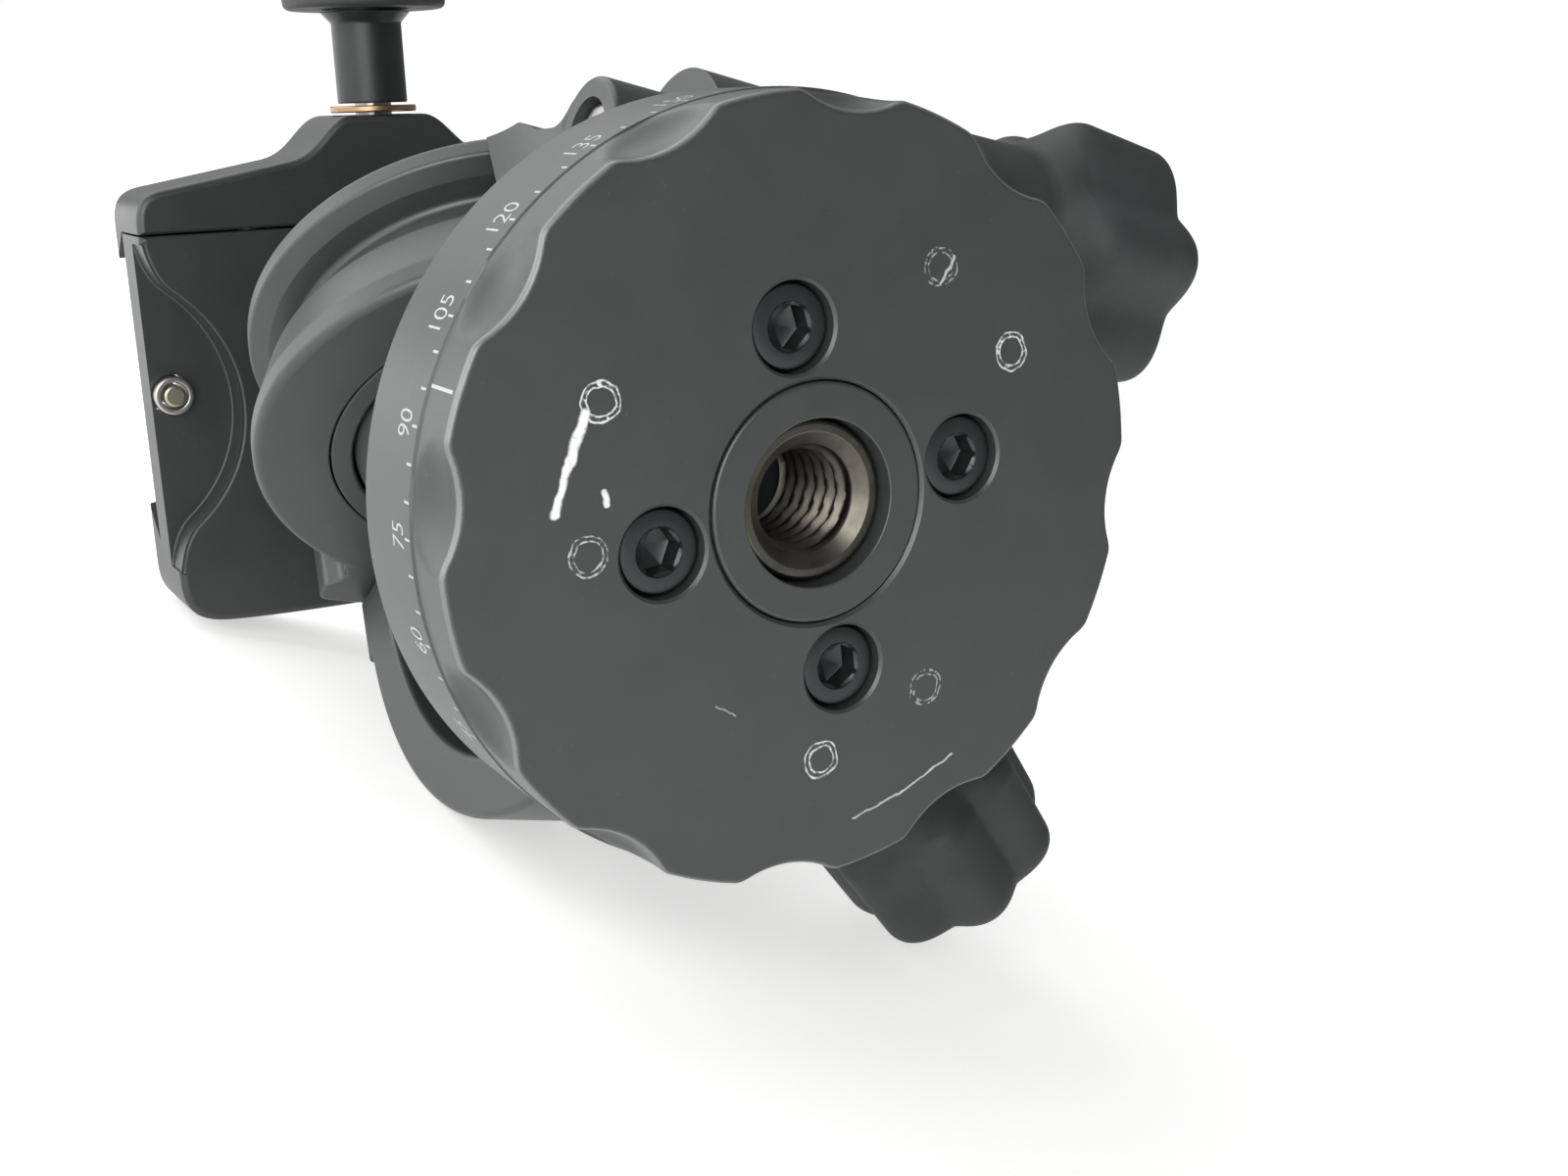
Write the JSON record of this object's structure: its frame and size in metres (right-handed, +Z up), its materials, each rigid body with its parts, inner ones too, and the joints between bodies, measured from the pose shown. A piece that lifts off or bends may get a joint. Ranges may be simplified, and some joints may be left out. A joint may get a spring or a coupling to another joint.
{
  "type": "ball head with panning base",
  "caption": "Open-frame photographic ball head: a knurled panning base, a C-shaped arm with a split ring that clamps a ball, and a dovetail quick-release clamp with a lobed knob.",
  "frame": {"origin": "middle of the flat underside of the panning base, on the pan axis, where the tripod thread opens", "axes": "+Z up the pan axis through the ball centre to the clamp; +X along the tension knob, away from the head; +Y towards the C-shaped arm"},
  "size_m": [0.0946, 0.109, 0.1126],
  "materials": {
    "anodised": "fine blasted, black anodised",
    "rubber": "matte moulded",
    "black_steel": "black oxide",
    "steel": "turned",
    "brass": "turned",
    "polymer": "plain"
  },
  "bodies": {
    "base": {"pan_base": "anodised", "spindle": "anodised", "tripod_bush": "steel", "pan_glide_washer": "polymer", "pan_top_washer": "steel", "pan_retaining_ring": "black_steel", "base_screw_1": "black_steel", "base_screw_2": "black_steel", "base_screw_3": "black_steel", "base_screw_4": "black_steel"},
    "housing": {"yoke": "anodised", "clamp_ring": "anodised", "seat_ring": "anodised", "ring_screw_1": "black_steel", "ring_screw_2": "black_steel", "tension_bolt": "steel"},
    "tension_washer": {"thrust_washer": "steel"},
    "tension_knob": {"main_knob_sleeve": "anodised", "main_knob_grip": "rubber"},
    "pan_shoe": {"pan_lock_shoe": "brass"},
    "pan_knob": {"pan_lock_stud": "steel", "pan_knob_grip": "rubber"},
    "ball": {"ball_stem": "anodised"},
    "clamp": {"clamp_body": "anodised", "clamp_bolt": "black_steel", "detent_sleeve": "steel", "jaw_spring_1": "steel", "jaw_spring_2": "steel"},
    "detent": {"detent_pin": "brass"},
    "jaw": {"moving_jaw": "anodised", "brass_washer": "brass", "guide_pin_1": "steel", "guide_pin_2": "steel"},
    "clamp_knob": {"clamp_screw": "steel", "clamp_knob_sleeve": "anodised", "clamp_knob_grip": "rubber"}
  },
  "joints": [
    {"name": "pan", "type": "hinge", "parent": "base", "child": "housing", "pos_m": [0, 0, 0.0145], "axis": [0, 0, 1], "continuous": true},
    {"name": "tension_travel", "type": "slide", "parent": "housing", "child": "tension_washer", "axis": [1, 0, 0], "range_m": [0, 0.0019]},
    {"name": "tension_turn", "type": "hinge", "parent": "tension_washer", "child": "tension_knob", "pos_m": [0.048, -0.02747, 0.03654], "axis": [1, 0, 0], "range_deg": [0, 540]},
    {"name": "pan_lock_travel", "type": "slide", "parent": "housing", "child": "pan_shoe", "axis": [0.7431, 0.6691, 0], "range_m": [0, 0.0008]},
    {"name": "pan_lock_turn", "type": "hinge", "parent": "pan_shoe", "child": "pan_knob", "pos_m": [0.03716, 0.03346, 0.024], "axis": [0.7431, 0.6691, 0], "range_deg": [0, 227]},
    {"name": "tilt", "type": "hinge", "parent": "housing", "child": "ball", "pos_m": [0, 0, 0.0605], "axis": [1, 0, 0], "range_deg": [-3, 86]},
    {"name": "swivel", "type": "hinge", "parent": "ball", "child": "clamp", "pos_m": [0, 0, 0.0955], "axis": [0, 0, 1], "continuous": true},
    {"name": "detent_press", "type": "slide", "parent": "clamp", "child": "detent", "axis": [0, 0, -1], "range_m": [0, 0.0016], "stiffness_N_per_m": 300},
    {"name": "jaw_travel", "type": "slide", "parent": "clamp", "child": "jaw", "axis": [-0.2588, -0.9659, 0], "range_m": [0, 0.004]},
    {"name": "clamp_turn", "type": "hinge", "parent": "jaw", "child": "clamp_knob", "pos_m": [-0.01294, -0.0483, 0.1013], "axis": [-0.2588, -0.9659, 0], "range_deg": [0, 1134]}
  ],
  "couplings": [
    {"joint": "tension_turn", "follows": "tension_travel", "rad_per_m": 4947.4},
    {"joint": "pan_lock_turn", "follows": "pan_lock_travel", "rad_per_m": 4947.4},
    {"joint": "clamp_turn", "follows": "jaw_travel", "rad_per_m": 4947.4}
  ]
}
